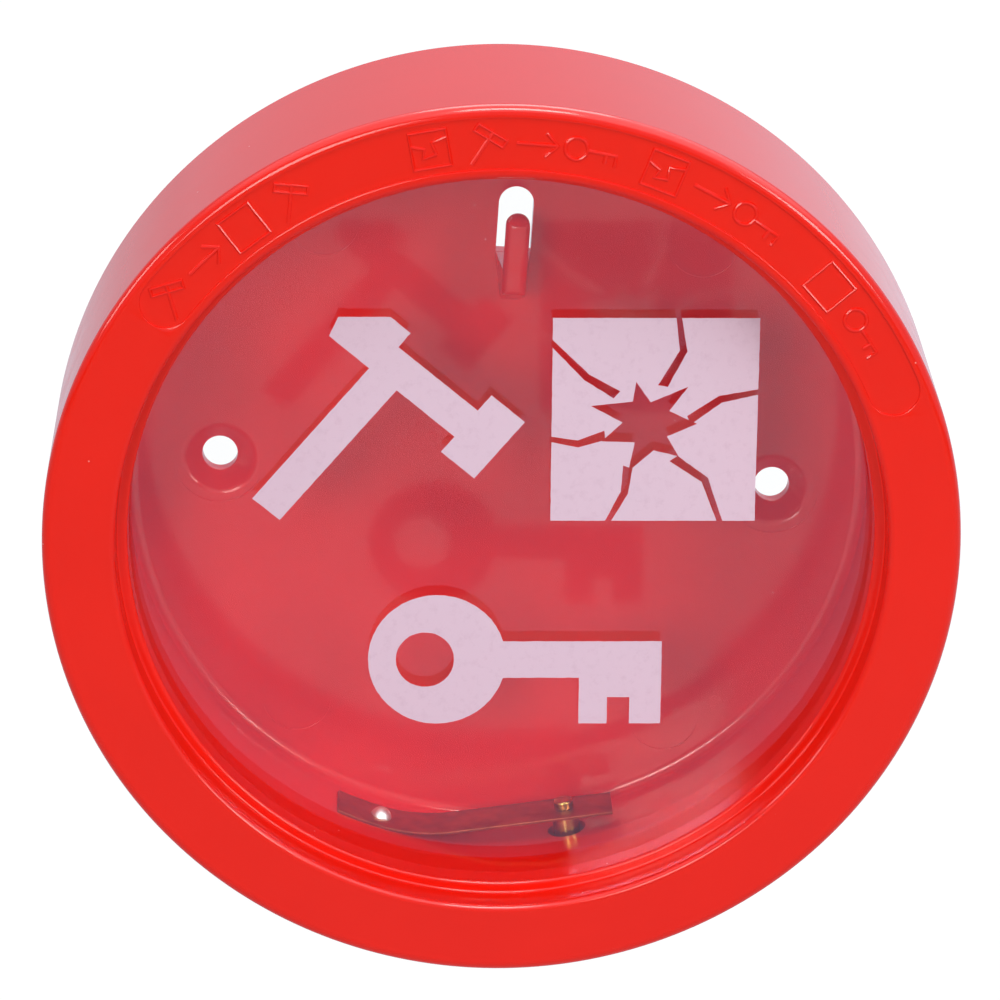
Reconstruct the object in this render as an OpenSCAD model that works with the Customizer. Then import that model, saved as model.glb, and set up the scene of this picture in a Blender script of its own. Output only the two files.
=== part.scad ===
// Break glass key box: a round wall cup, closed by a ring cover that carries a
// glass disc. Millimetres. The front faces -Y and +Z is up. The origin is on the
// cup's axis, in the plane of the wall.
// Each piece is drawn lying on its back, with the wall at z = 0 and the front
// at the top, and upright() then stands it against the wall.

/* [Overall] */
// Outside diameter of the cover at its front face
cover_d = 120; // [114:1:150]
// Distance from the wall to the cover's front face
depth = 37; // [34:0.5:60]

/* [Ring cover] */
// Width of the front ring, from its bore to its rim
ring_w = 9.5; // [9:0.25:14]
// Thickness of the front ring and of the skirt
shell_t = 2.4; // [1.8:0.1:2.8]
// How much the skirt's radius grows towards the wall, so that it leaves its mould
skirt_draft = 0.5; // [0:0.1:0.8]
// Radius of the rounding round the front rim
rim_round = 1.6; // [0.6:0.1:2.2]
// Radius of the rounding at the mouth of the bore
bore_round = 0.8; // [0.3:0.1:1.2]
// Depth from the front face to the lip
bore_depth = 4.8; // [3:0.2:8]
// How far the lip stands in from the bore
lip_w = 1.4; // [1:0.1:2]
// Thickness of the lip, which bears on the glass
lip_t = 3.7; // [2:0.1:5]
// Thickness of the inner sleeve, which slides over the cup
sleeve_t = 2; // [1.6:0.1:2.2]
// Clearance between the sleeve's end and the cup's flange
sleeve_end_gap = 2.2; // [1:0.2:4]
// Number of ribs between the sleeve and the skirt
rib_count = 12; // [6:2:24]
// Thickness of each rib
rib_t = 1.2; // [0.8:0.1:2]
// How far each rib stops short of the skirt's edge
rib_set_back = 7; // [4:0.5:14]

/* [Badge band] */
// Margin from the ring's rims to the band
band_margin = 1.25; // [1:0.05:2]
// Depth of the band below the front face
band_depth = 0.25; // [0.1:0.05:0.6]
// Angle that the band takes up
band_span = 118; // [40:1:170]
// Turn of the band's middle, clockwise from the top
band_turn = 3.7; // [-10:0.1:10]

/* [Glass] */
// Thickness of the glass disc
glass_t = 3; // [2:0.5:4]
// Clearance round the glass in its seat
glass_gap = 0.6; // [0.3:0.1:1.2]
// Width of the ground edge of the glass
glass_edge = 0.4; // [0.2:0.1:0.8]

/* [Cup] */
// How far the cup's wall stands out from the lip's opening
seat_w = 1.5; // [1:0.1:2.5]
// Thickness of the cup's side wall
cup_wall = 2.6; // [2:0.1:3]
// Thickness of the cup's back
back_t = 2.5; // [2:0.1:4]
// Clearance between the cup's back and the wall
back_stand = 2; // [1.5:0.25:5]
// Thickness of the cup's flange
flange_t = 3.5; // [2.5:0.1:5]
// How far the flange stays inside the skirt's rim
flange_inset = 1.6; // [0.6:0.1:3]
// Radius inside the cup where its side meets its back
cup_round = 1.5; // [0.6:0.1:3]
// Clearance of every sliding fit
slide_fit = 0.3; // [0.2:0.05:0.5]
// Diameter of the marks that the mould's ejector pins leave
ejector_d = 9.5; // [6:0.5:12]
// Distance between the ejector marks, side to side
ejector_dx = 51.2; // [40:0.1:56]
// Distance between the ejector marks, up and down
ejector_dy = 69; // [56:0.5:74]
// Depth of the ejector marks
ejector_depth = 0.15; // [0.05:0.05:0.3]

/* [Wall screws] */
// Distance between the two screw holes
screw_spacing = 76; // [60:1:80]
// Diameter of each screw hole
screw_hole_d = 5; // [4:0.1:5.5]
// Diameter of the countersink at the cup's back
screw_sink_d = 10; // [8:0.5:11]
// Diameter of the boss behind each hole
screw_boss_d = 12.4; // [11.5:0.1:14]

/* [Key hook] */
// Height of the hook's ledge above the axis
ledge_up = 31.7; // [24:0.1:34]
// Width of the slot behind the hook
slot_w = 4.7; // [4:0.1:8]
// Height of the slot behind the hook
slot_h = 9.2; // [7:0.1:11]
// Length of the ledge, from the cup's back to the finger
ledge_len = 8.2; // [6:0.1:12]
// Width of the finger
finger_w = 3.2; // [2.4:0.1:3.8]
// Thickness of the finger, front to back
finger_t = 2.8; // [2:0.1:4]
// Height of the finger above the ledge
finger_h = 8.2; // [6:0.1:9]
// Height of the gusset under the ledge, at the cup's back
gusset_h = 6.6; // [4:0.1:9]
// Width of the gusset at its lowest point
gusset_foot_w = 2.3; // [1.6:0.1:3.2]
// Thickness of the ledge below the finger
ledge_t = 1.6; // [1.2:0.1:3]

/* [Spring catch] */
// Height of the catch's middle above the wall
catch_z = 11.7; // [10.5:0.1:16]
// Angle of the rivet, left of the cup's lowest point
rivet_angle = 15; // [10:0.5:20]
// Angle of the stud, right of the cup's lowest point
stud_angle = 15; // [10:0.5:18]
// Thickness of the leaf spring
leaf_t = 0.4; // [0.3:0.05:0.6]
// Width of the leaf spring
leaf_w = 7; // [6:0.1:10]
// Length of the leaf's tail beyond the rivet
leaf_tail = 6.4; // [4:0.1:9]
// Length of the leaf's finger tab beyond the stud
leaf_tab = 6.6; // [4:0.1:9]
// Radius of the bend where the leaf leaves the wall
leaf_bend_r = 22; // [16:0.5:26]
// Rise of the leaf's free end, in degrees
leaf_rise = 11; // [8:0.5:14]
// Diameter of the rivet's domed head
rivet_head_d = 2.9; // [2.6:0.1:4]
// Height of the rivet's domed head
rivet_head_h = 1.2; // [0.8:0.1:1.4]
// Diameter of the rivet's shank
rivet_d = 1.8; // [1.4:0.1:2.2]
// Diameter of the rivet's tail, in its counterbore
rivet_tail_d = 3.4; // [2.8:0.1:4]
// Thickness of the rivet's tail
rivet_tail_t = 0.7; // [0.5:0.1:1]
// Diameter of the stud's body
stud_d = 3.7; // [3:0.1:4.4]
// Diameter of the stud's neck, through the leaf
stud_neck_d = 1.8; // [1.4:0.1:2.2]
// Diameter of the stud's head
stud_head_d = 2.7; // [2.4:0.1:3.6]
// Height of the stud's head
stud_head_h = 1.3; // [0.8:0.1:1.8]
// Clearance round the stud in the cup's hole
stud_gap = 0.8; // [0.5:0.1:1.4]
// Clearance round the stud in the cover's hole
lock_gap = 0.4; // [0.3:0.05:0.8]

/* [Hidden] */

// Overlap that keeps joined or cut faces from lying in one plane
nudge = 0.02;
// Angle between two points of a bend that is drawn as a chain of points
bend_step = 1;
// Clearance of heads, collars and shanks that only touch what they hold
seat_gap = 0.06;
// Clearance round a rivet's shank or a stud's neck
hole_gap = 0.1;

// Radii of the ring cover, from the outside in
cover_r = cover_d / 2;
skirt_r = cover_r + skirt_draft;
skirt_in_r = cover_r - shell_t;
bore_r = cover_r - ring_w;
lip_r = bore_r - lip_w;

// Radii of the cup, and of the sleeve round it
cup_r = lip_r + seat_w;
cup_out_r = cup_r + cup_wall;
sleeve_in_r = cup_out_r + slide_fit;
sleeve_out_r = sleeve_in_r + sleeve_t;
flange_r = skirt_r - flange_inset - skirt_draft;
glass_r = sleeve_in_r - glass_gap;

// Heights above the wall
base_z = back_stand + back_t;
flange_z = back_stand + flange_t;
skirt_z = flange_z + slide_fit;
sleeve_z = flange_z + sleeve_end_gap;
lip_z = depth - bore_depth;
glass_z = lip_z - lip_t - glass_t;
cup_rim_z = glass_z - slide_fit;
rib_z = skirt_z + rib_set_back;

// Thinned back of the bore's wall, so that the moulding has no thick lump
core_r = bore_r + shell_t;
core_z = lip_z - shell_t / 4;

// Badge band between the two rims of the ring
band_in_r = bore_r + band_margin;
band_out_r = cover_r - rim_round;
band_end_r = (band_out_r - band_in_r) / 2;
band_mid_r = (band_out_r + band_in_r) / 2;

// Path of the leaf's middle surface: along the wall, round its bend, then straight
leaf_r = cup_r - leaf_t / 2;
tail_angle = leaf_tail / leaf_r * 180 / PI;
bend_turn = rivet_angle + leaf_rise;
bend_start = [-leaf_r * sin(rivet_angle), -leaf_r * cos(rivet_angle)];
bend_centre = bend_start + leaf_bend_r * [sin(rivet_angle), cos(rivet_angle)];
leaf_dir = [cos(leaf_rise), sin(leaf_rise)];
leaf_down = [sin(leaf_rise), -cos(leaf_rise)];
straight_start = bend_centre + leaf_bend_r * leaf_down;
stud_dir = [sin(stud_angle), -cos(stud_angle)];
stud_r = cross(straight_start, leaf_dir) / cross(stud_dir, leaf_dir);
stud_pos = stud_r * stud_dir;
straight_len = norm(stud_pos - straight_start) + leaf_tab;

// Points on an arc of radius r round a centre
function arc(centre, r, from, to) =
    let (steps = ceil((to - from) / bend_step))
    [for (i = [0 : steps]) let (a = from + (to - from) * i / steps) centre + r * [cos(a), sin(a)]];

// Points along one face of the leaf, a distance out from its middle surface
function leaf_face(out) = concat(
    arc([0, 0], leaf_r + out, -90 - rivet_angle - tail_angle, -90 - rivet_angle - bend_step),
    arc(bend_centre, leaf_bend_r + out, -90 - rivet_angle, leaf_rise - 90),
    [straight_start + out * leaf_down + straight_len * leaf_dir]
);

// Distances from the leaf to the cup's outer face and to the sleeve, along the stud
wall_out = path_to_radius(cup_out_r);
sleeve_out = path_to_radius(sleeve_out_r);
stud_len = wall_out - slide_fit / 2;

// How far one goes from the stud's place on the leaf, outwards, to a given radius
function path_to_radius(r) =
    let (along = stud_pos * leaf_down)
    sqrt(r * r - stud_pos * stud_pos + along * along) - along;

// Stands a piece that lies on its back up against the wall
module upright() { rotate([90, 0, 0]) children(); }

// Everything that is turned about the box's axis
module turned() { rotate_extrude($fn = 180) children(); }

// What a rounding of radius r takes off a square corner at the origin
module corner_off(r) {
    difference() {
        translate([-r, -r]) square(r + nudge);
        translate([-r, -r]) circle(r, $fn = 48);
    }
}

// What a hollow rounding of radius r fills in a square corner at the origin
module corner_fill(r) {
    difference() {
        translate([-nudge, -nudge]) square(r + nudge);
        translate([r, r]) circle(r, $fn = 48);
    }
}

// Where the stud sits on the leaf, with its own axis pointing out of the cup
module on_catch_axis() {
    translate([stud_pos.x, stud_pos.y, catch_z])
        rotate([0, 0, leaf_rise])
            rotate([90, 0, 0])
                children();
}

// Where the rivet sits, with its own axis pointing out of the cup from the axis
module on_rivet_axis() {
    translate([0, 0, catch_z]) rotate([0, 0, -rivet_angle]) rotate([90, 0, 0]) children();
}

// Half section of the ring cover: skirt, ring, stepped bore and inner sleeve
module cover_section() {
    difference() {
        polygon([
            [lip_r, lip_z - lip_t], [lip_r, lip_z], [bore_r, lip_z], [bore_r, depth],
            [cover_r, depth], [cover_r, depth - rim_round], [skirt_r, skirt_z],
            [skirt_r - shell_t, skirt_z], [skirt_in_r, depth - shell_t],
            [core_r, depth - shell_t], [core_r, core_z],
            [sleeve_out_r, core_z - (sleeve_out_r - core_r)], [sleeve_out_r, sleeve_z],
            [sleeve_in_r, sleeve_z], [sleeve_in_r, lip_z - lip_t]
        ]);
        translate([cover_r, depth]) corner_off(rim_round);
        translate([bore_r, depth]) mirror([1, 0]) corner_off(bore_round);
        translate([lip_r, lip_z]) mirror([1, 0]) corner_off(bore_round / 2);
    }
}

// Ribs that tie the sleeve to the skirt and to the back of the bore, clear of the lock hole
module cover_ribs() {
    sleeve_mid_r = (sleeve_in_r + sleeve_out_r) / 2;
    skirt_mid_r = skirt_in_r + shell_t / 2;
    top_z = depth - shell_t / 2;
    for (i = [0 : rib_count - 1])
        rotate([0, 0, i * 360 / rib_count])
            translate([0, rib_t / 2, 0])
                rotate([90, 0, 0])
                    linear_extrude(rib_t)
                        polygon([
                            [sleeve_mid_r, rib_z], [skirt_mid_r, rib_z], [skirt_mid_r, top_z],
                            [core_r - shell_t / 4, top_z], [core_r - shell_t / 4, core_z],
                            [sleeve_mid_r, core_z - (sleeve_mid_r - core_r) - shell_t / 4]
                        ]);
}

// Shallow band with round ends, sunk into the top of the ring
module badge_band() {
    band_z = depth - band_depth;
    rotate([0, 0, 90 - band_turn]) {
        rotate([0, 0, -band_span / 2])
            rotate_extrude(angle = band_span, $fn = 180)
                translate([band_in_r, band_z])
                    square([band_out_r - band_in_r, band_depth + nudge]);
        for (side = [-1, 1])
            rotate([0, 0, side * band_span / 2])
                translate([band_mid_r, 0, band_z])
                    cylinder(r = band_end_r, h = band_depth + nudge, $fn = 48);
    }
}

module front_cover() {
    color("red") upright() difference() {
        union() {
            turned() cover_section();
            cover_ribs();
        }
        badge_band();
        on_catch_axis()
            translate([0, 0, wall_out])
                cylinder(r = stud_d / 2 + lock_gap, h = sleeve_out - wall_out + sleeve_t / 4, $fn = 48);
    }
}

module glass_disc() {
    color([0.85, 0.9, 0.92, 0.35]) upright() turned() difference() {
        translate([0, glass_z]) square([glass_r, glass_t]);
        translate([glass_r, glass_z + glass_t]) rotate(45) square(glass_edge * sqrt(2), center = true);
        translate([glass_r, glass_z]) rotate(45) square(glass_edge * sqrt(2), center = true);
    }
}

// Half section of the cup: back, flange, rear rim and side wall
module cup_section() {
    difference() {
        union() {
            translate([0, back_stand]) square([cup_out_r, back_t]);
            translate([cup_r, back_stand]) square([flange_r - cup_r, flange_t]);
            translate([flange_r - shell_t, 0]) square([shell_t, flange_z]);
            translate([cup_r, back_stand]) square([cup_wall, cup_rim_z - back_stand]);
            translate([cup_r, base_z]) mirror([1, 0]) corner_fill(cup_round);
        }
        translate([flange_r, flange_z]) corner_off(shell_t / 4);
        translate([cup_out_r, cup_rim_z]) corner_off(shell_t / 4);
        translate([cup_r, cup_rim_z]) mirror([1, 0]) corner_off(shell_t / 4);
    }
}

// Countersunk screw hole, from the front
module screw_hole() {
    sink_depth = (screw_sink_d - screw_hole_d) / 2;
    translate([0, 0, -nudge]) cylinder(d = screw_hole_d, h = base_z + 2 * nudge, $fn = 64);
    translate([0, 0, base_z - sink_depth])
        cylinder(d1 = screw_hole_d, d2 = screw_sink_d, h = sink_depth, $fn = 64);
    translate([0, 0, base_z]) cylinder(d = screw_sink_d, h = nudge, $fn = 64);
    translate([0, 0, base_z - ejector_depth]) cylinder(d = screw_boss_d, h = ejector_depth + nudge, $fn = 64);
}

// Slot through the back, where the mould's core for the hook goes in
module hook_slot() {
    slot_r = slot_w / 2;
    translate([-slot_r, ledge_up, back_stand - nudge])
        cube([slot_w, slot_h - slot_r, back_t + 2 * nudge]);
    translate([0, ledge_up + slot_h - slot_r, back_stand - nudge])
        cylinder(r = slot_r, h = back_t + 2 * nudge, $fn = 48);
}

// Outline of the hook from the side: ledge, finger and the gusset below
module hook_side() {
    reach = ledge_len + finger_t;
    tip_r = finger_t * 2 / 3;
    nose_r = ledge_t * 3 / 4;
    slope = atan((gusset_h - ledge_t) / reach);
    nose = [reach - nose_r, nose_r * (1 - sin(slope)) / cos(slope) - ledge_t];
    polygon([
        [-back_t / 2, 0], [ledge_len, 0], [ledge_len, finger_h], [reach - tip_r, finger_h],
        [reach, finger_h - tip_r], [reach, nose.y], nose + nose_r * [sin(slope), -cos(slope)],
        [0, -gusset_h], [-back_t / 2, -gusset_h]
    ]);
    translate(nose) circle(nose_r, $fn = 48);
    translate([reach - tip_r, finger_h - tip_r]) circle(tip_r, $fn = 48);
}

// Outline of the hook from the front: round tip, parallel finger, narrowing foot
module hook_front() {
    tip_r = finger_w / 2;
    polygon([
        [-finger_w / 2, finger_h - tip_r], [-finger_w / 2, 0], [-slot_w / 2, 0], [-slot_w / 2, -ledge_t / 2],
        [-gusset_foot_w / 2, -gusset_h - nudge], [gusset_foot_w / 2, -gusset_h - nudge],
        [slot_w / 2, -ledge_t / 2], [slot_w / 2, 0], [finger_w / 2, 0], [finger_w / 2, finger_h - tip_r]
    ]);
    translate([0, finger_h - tip_r]) circle(tip_r, $fn = 48);
}

// Outline of the hook from above: as wide as the slot at the back, as the finger in front
module hook_plan() {
    reach = ledge_len + finger_t;
    nose_r = finger_w * 3 / 8;
    polygon([
        [-slot_w / 2, -back_t], [-slot_w / 2, 0], [-finger_w / 2, ledge_len], [-finger_w / 2, reach - nose_r],
        [-finger_w / 2 + nose_r, reach], [finger_w / 2 - nose_r, reach],
        [finger_w / 2, reach - nose_r], [finger_w / 2, ledge_len], [slot_w / 2, 0], [slot_w / 2, -back_t]
    ]);
    for (side = [-1, 1])
        translate([side * (finger_w / 2 - nose_r), reach - nose_r]) circle(nose_r, $fn = 48);
}

// Hook that the key hangs on: the body that its three outlines share
module key_hook() {
    tall = gusset_h + finger_h + 2;
    translate([0, ledge_up, base_z]) intersection() {
        rotate([0, -90, 0]) linear_extrude(slot_w + 2, center = true) hook_side();
        translate([0, 0, -back_t]) linear_extrude(ledge_len + finger_t + back_t + 2) hook_front();
        translate([0, tall, 0]) rotate([90, 0, 0]) linear_extrude(2 * tall) hook_plan();
    }
}

module back_housing() {
    color("red") upright() difference() {
        union() {
            difference() {
                union() {
                    turned() cup_section();
                    for (side = [-1, 1])
                        translate([side * screw_spacing / 2, 0, 0])
                            cylinder(d = screw_boss_d, h = back_stand + nudge, $fn = 64);
                }
                hook_slot();
            }
            key_hook();
        }
        for (side = [-1, 1]) translate([side * screw_spacing / 2, 0, 0]) screw_hole();
        for (x = [-1, 1], y = [-1, 1])
            translate([x * ejector_dx / 2, y * ejector_dy / 2, base_z - ejector_depth])
                cylinder(d = ejector_d, h = ejector_depth + nudge, $fn = 64);
        on_catch_axis() cylinder(r = stud_d / 2 + stud_gap, h = wall_out + cup_wall, $fn = 64);
        on_rivet_axis() {
            translate([0, 0, leaf_r]) cylinder(r = rivet_d / 2 + hole_gap, h = 2 * cup_wall, $fn = 48);
            translate([0, 0, cup_out_r - rivet_tail_t - seat_gap])
                cylinder(r = rivet_tail_d / 2 + hole_gap, h = cup_wall, $fn = 48);
        }
    }
}

// Outline of the leaf from the front: its outer face one way, its inner face back
module leaf_outline() {
    outer = leaf_face(leaf_t / 2);
    inner = leaf_face(-leaf_t / 2);
    polygon(concat(outer, [for (i = [len(inner) - 1 : -1 : 0]) inner[i]]));
}

module leaf_spring() {
    color("peru") upright() difference() {
        translate([0, 0, catch_z - leaf_w / 2]) linear_extrude(leaf_w) leaf_outline();
        on_rivet_axis()
            translate([0, 0, leaf_r - leaf_t]) cylinder(r = rivet_d / 2 + hole_gap, h = 2 * leaf_t, $fn = 48);
        on_catch_axis()
            translate([0, 0, -leaf_t]) cylinder(r = stud_neck_d / 2 + hole_gap, h = 2 * leaf_t, $fn = 48);
    }
}

// Part of a ball: a domed head of diameter d and height h, on its flat side
module domed_head(d, h) {
    ball_r = (d * d / 4 + h * h) / (2 * h);
    intersection() {
        translate([0, 0, h - ball_r]) sphere(ball_r, $fn = 64);
        cylinder(d = d, h = h, $fn = 64);
    }
}

module spring_rivet() {
    head_z = cup_r - leaf_t - seat_gap;
    tail_z = cup_out_r - rivet_tail_t;
    color("silver") upright() on_rivet_axis() {
        translate([0, 0, head_z]) mirror([0, 0, 1]) domed_head(rivet_head_d, rivet_head_h);
        translate([0, 0, head_z - nudge]) cylinder(d = rivet_d, h = tail_z - head_z + 2 * nudge, $fn = 48);
        translate([0, 0, tail_z]) cylinder(d = rivet_tail_d, h = rivet_tail_t - seat_gap, $fn = 48);
    }
}

module catch_stud() {
    body_z = leaf_t / 2 + seat_gap / 2;
    chamfer = stud_d / 8;
    color("gold") upright() on_catch_axis() {
        translate([0, 0, -body_z]) mirror([0, 0, 1]) {
            cylinder(d = stud_head_d, h = stud_head_h / 2, $fn = 64);
            translate([0, 0, stud_head_h / 2 - nudge]) domed_head(stud_head_d, stud_head_h / 2 + nudge);
        }
        translate([0, 0, -body_z - nudge]) cylinder(d = stud_neck_d, h = 2 * (body_z + nudge), $fn = 48);
        translate([0, 0, body_z]) cylinder(d = stud_d, h = stud_len - body_z - chamfer, $fn = 64);
        translate([0, 0, stud_len - chamfer])
            cylinder(d1 = stud_d, d2 = stud_d - 2 * chamfer, h = chamfer, $fn = 64);
    }
}

back_housing();
front_cover();
glass_disc();
leaf_spring();
spring_rivet();
catch_stud();
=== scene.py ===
"""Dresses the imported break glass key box: ring cover, glass, wall cup and spring catch, in a white studio."""

import logging
import math
from dataclasses import dataclass, field
from enum import Enum
from itertools import pairwise

import bmesh
import bpy
from mathutils import Matrix, Vector, noise

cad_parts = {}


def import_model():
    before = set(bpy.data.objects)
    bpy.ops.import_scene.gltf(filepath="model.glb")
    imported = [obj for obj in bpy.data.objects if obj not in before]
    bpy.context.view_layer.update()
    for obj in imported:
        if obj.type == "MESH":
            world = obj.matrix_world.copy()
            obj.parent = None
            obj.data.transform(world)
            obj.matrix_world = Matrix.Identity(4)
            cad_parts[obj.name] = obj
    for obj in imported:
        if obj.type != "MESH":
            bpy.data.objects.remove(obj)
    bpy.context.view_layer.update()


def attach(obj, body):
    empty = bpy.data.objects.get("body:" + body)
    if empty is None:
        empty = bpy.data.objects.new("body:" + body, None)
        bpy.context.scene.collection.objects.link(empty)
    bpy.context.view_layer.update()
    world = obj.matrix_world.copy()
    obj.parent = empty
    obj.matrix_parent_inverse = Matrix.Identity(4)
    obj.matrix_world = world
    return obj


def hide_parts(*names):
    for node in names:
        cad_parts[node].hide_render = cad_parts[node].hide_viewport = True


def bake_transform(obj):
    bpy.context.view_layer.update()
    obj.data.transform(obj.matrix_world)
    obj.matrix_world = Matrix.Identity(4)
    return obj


LOG = logging.getLogger("key_box")
MM = 0.001
TURN = 2 * math.pi

Piece = bpy.types.Object
Tree = bpy.types.NodeTree
Socket = bpy.types.NodeSocket
Spot = tuple[float, float]
Point = tuple[float, float, float]


class Body(Enum):
    """The parts of the box that move as one."""

    HOUSING = "housing"
    COVER = "cover"
    CATCH = "catch"


class Cut(Enum):
    """How a tool shape changes the piece that it is used on."""

    TAKE_AWAY = "DIFFERENCE"
    ADD = "UNION"
    SHARE = "INTERSECT"


def linear(code: str, alpha: float = 1.0) -> tuple[float, float, float, float]:
    """Turns an sRGB hex colour to linear.

    Args:
        code: The colour, such as "#E31B12".
        alpha: The fourth value.

    Returns:
        Linear red, green and blue, and alpha.
    """
    channels = [int(code[i : i + 2], 16) / 255 for i in (1, 3, 5)]
    red, green, blue = (c / 12.92 if c <= 0.04045 else ((c + 0.055) / 1.055) ** 2.4 for c in channels)
    return red, green, blue, alpha


def add_node(tree: Tree, kind: str, inputs: dict | None = None, **settings: object) -> bpy.types.Node:
    """Adds a node with its settings, values and links.

    Args:
        tree: The material's or the world's node tree.
        kind: Blender's name for the kind of node.
        inputs: A value, or the output socket to link, for each input by its name or number.
        **settings: What is set on the node itself.

    Returns:
        The new node.
    """
    node = tree.nodes.new(kind)
    for name, value in settings.items():
        setattr(node, name, value)
    for key, value in (inputs or {}).items():
        if isinstance(value, Socket):
            tree.links.new(value, node.inputs[key])
        else:
            node.inputs[key].default_value = value
    return node


def ramp(tree: Tree, value: Socket, span: Spot, result: Spot = (0.0, 1.0)) -> Socket:
    """Maps a span of values evenly onto another, and holds what lies past its ends."""
    inputs = {"Value": value, "From Min": span[0], "From Max": span[1], "To Min": result[0], "To Max": result[1]}
    return add_node(tree, "ShaderNodeMapRange", inputs).outputs["Result"]


def cloud(tree: Tree, place: Socket, size_mm: float, **inputs: float) -> Socket:
    """Adds a cloudy pattern, with clouds of a real size."""
    inputs = {"Vector": place, "Scale": 1 / (size_mm * MM), **inputs}
    return add_node(tree, "ShaderNodeTexNoise", inputs).outputs["Fac"]


def tint(tree: Tree, share: Socket, colour: object, other: object) -> Socket:
    """Mixes two colours, by the share that the other one has."""
    return add_node(tree, "ShaderNodeMix", {"Factor": share, 6: colour, 7: other}, data_type="RGBA").outputs[2]


def reckon(tree: Tree, operation: str, one: object, other: object) -> Socket:
    """Works out one value from two, by Blender's name for the sum."""
    return add_node(tree, "ShaderNodeMath", {0: one, 1: other}, operation=operation).outputs["Value"]


def ripple(tree: Tree, height: Socket, height_mm: float) -> Socket:
    """Tilts the surface as a pattern of that height would."""
    inputs = {"Height": height, "Distance": height_mm * MM, "Strength": 1.0}
    return add_node(tree, "ShaderNodeBump", inputs).outputs["Normal"]


def layer(tree: Tree, share: Socket, one: Socket, other: Socket) -> Socket:
    """Mixes two surfaces or lights, by the share that the other one has."""
    return add_node(tree, "ShaderNodeMixShader", {0: share, 1: one, 2: other}).outputs["Shader"]


def rounded(corners: list[Point], steps: int = 6, hold: float = 0.1) -> list[Spot]:
    """Rounds the corners of a sketched outline.

    Args:
        corners: Two coordinates and a rounding for each corner, in millimetres. A rounding of 0 keeps it sharp.
        steps: The number of chords in each rounding.
        hold: How far past each rounding a point holds the flat stretch flat.

    Returns:
        The points of the rounded outline.
    """
    points: list[Spot] = []
    for i, (x, y, rounding) in enumerate(corners):
        corner = Vector((x, y))
        if rounding == 0:
            points.append((x, y))
            continue
        back = (Vector(corners[i - 1][:2]) - corner).normalized()
        ahead = (Vector(corners[(i + 1) % len(corners)][:2]) - corner).normalized()
        half = back.angle(ahead) / 2
        reach = rounding / math.tan(half)
        centre = corner + (back + ahead).normalized() * rounding / math.sin(half)
        start = corner + back * reach - centre
        sweep = start.angle_signed(corner + ahead * reach - centre)
        points.append(tuple(corner + back * (reach + hold)))
        for step in range(steps + 1):
            spoke = start.copy()
            spoke.rotate(Matrix.Rotation(-sweep * step / steps, 2))
            points.append(tuple(centre + spoke))
        points.append(tuple(corner + ahead * (reach + hold)))
    return points


def arc(centre: Spot, radius: float, start: float, end: float, steps: int) -> list[Spot]:
    """Lists the points along an arc, both ends among them, with its angles in degrees."""
    angles = (math.radians(start + (end - start) * i / steps) for i in range(steps + 1))
    return [(centre[0] + radius * math.cos(a), centre[1] + radius * math.sin(a)) for a in angles]


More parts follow.
